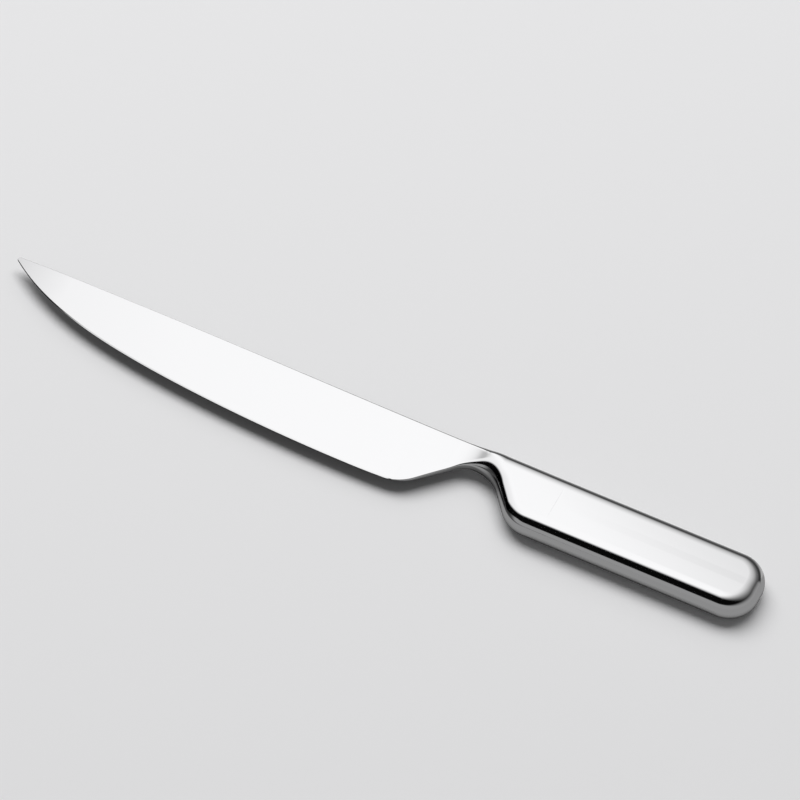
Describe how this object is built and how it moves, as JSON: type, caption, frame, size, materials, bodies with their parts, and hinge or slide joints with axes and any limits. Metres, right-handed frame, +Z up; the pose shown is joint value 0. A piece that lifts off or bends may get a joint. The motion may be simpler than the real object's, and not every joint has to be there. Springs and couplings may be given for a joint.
{
  "type": "carving knife",
  "caption": "All-steel carving knife with a long swept blade, a forged shoulder and a hollow, weighted handle with round sides.",
  "frame": {"origin": "bottom centre of the whole knife, lying on its flank", "axes": "+X from the tip to the butt, +Y from the edge to the spine, +Z up through the thickness"},
  "size_m": [0.32, 0.0297, 0.013],
  "materials": {
    "polished_blade_steel": "mirror polished stainless steel",
    "polished_handle_steel": "polished pressed stainless steel",
    "ground_weld": "weld bead ground flush and polished",
    "cut_steel": "saw-cut mild steel bar",
    "cement": "cast cement"
  },
  "bodies": {
    "root": {"blade": "polished_blade_steel", "upper_handle_shell": "polished_handle_steel", "lower_handle_shell": "polished_handle_steel", "handle_seam_weld": "ground_weld", "bolster_weld": "ground_weld", "balance_weight": "cut_steel", "handle_filling": "cement"}
  },
  "joints": []
}
